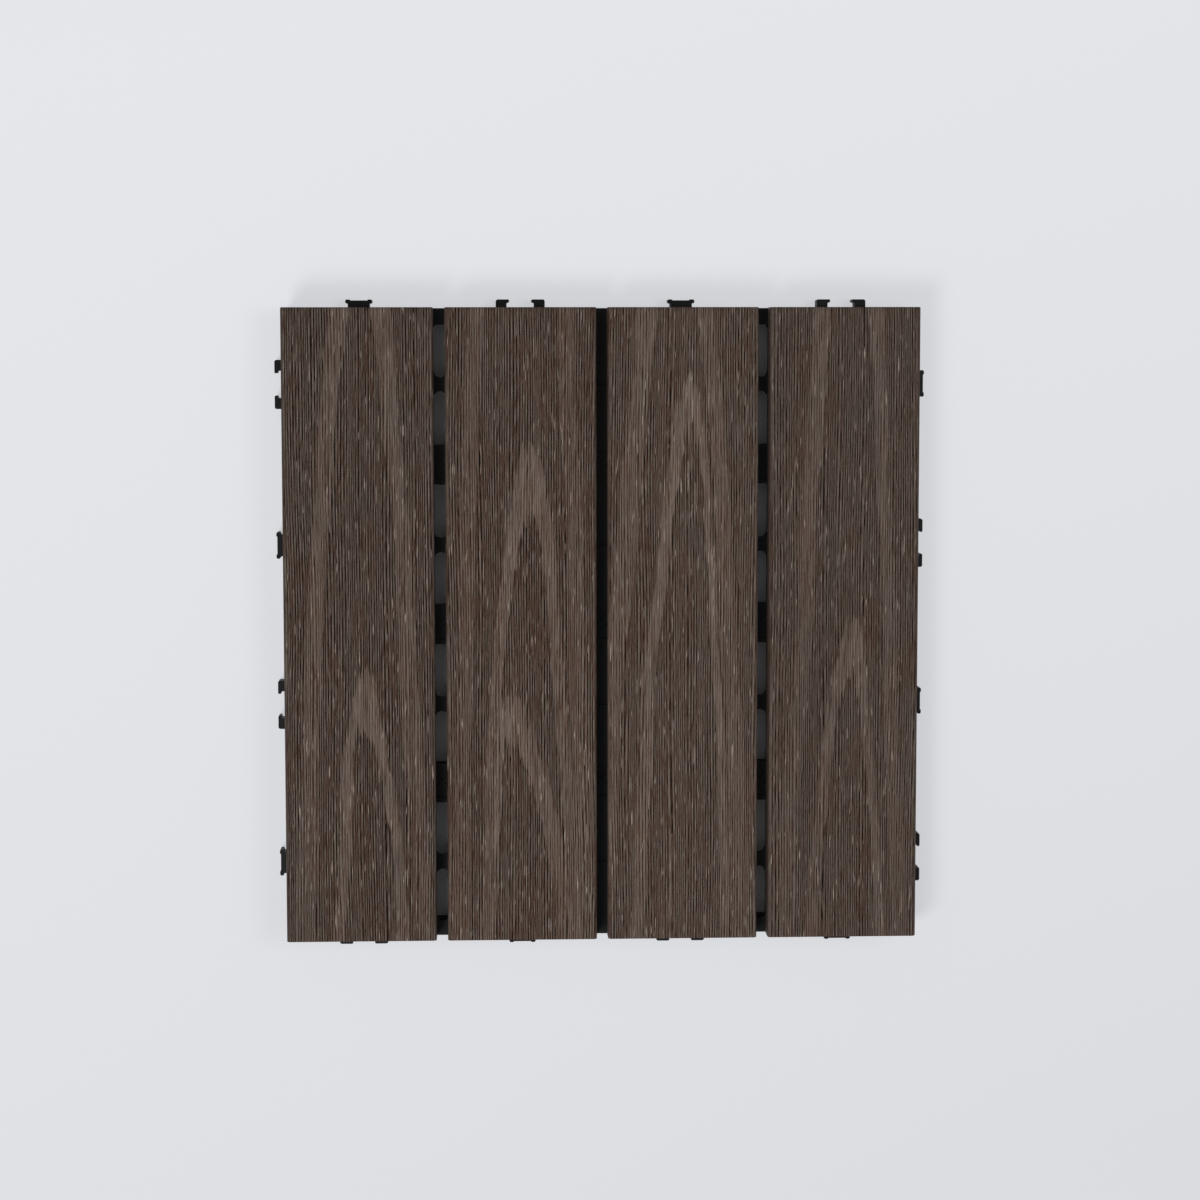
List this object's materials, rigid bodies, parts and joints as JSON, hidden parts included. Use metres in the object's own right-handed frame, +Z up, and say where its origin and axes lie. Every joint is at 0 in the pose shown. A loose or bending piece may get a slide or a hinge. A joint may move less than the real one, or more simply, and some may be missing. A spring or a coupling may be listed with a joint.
{
  "type": "interlocking deck tile",
  "caption": "Square outdoor deck tile: ribbed wood-plastic boards with gaps, screwed to a moulded grid base with tabs and hooks on every side.",
  "frame": {"origin": "on the ground, under the middle of the tile", "axes": "+Z up, +Y along the boards, +X across them"},
  "size_m": [0.3076, 0.3076, 0.022],
  "materials": {
    "deck_board": "matt wood-plastic composite, brushed lengthwise, dark brown with lighter grain",
    "base": "satin black moulded polypropylene",
    "screw": "plain stainless steel"
  },
  "bodies": {
    "root": {"deck_board_1": "deck_board", "deck_board_2": "deck_board", "deck_board_3": "deck_board", "deck_board_4": "deck_board", "grid_base": "base", "board_screws": "screw"}
  },
  "joints": []
}
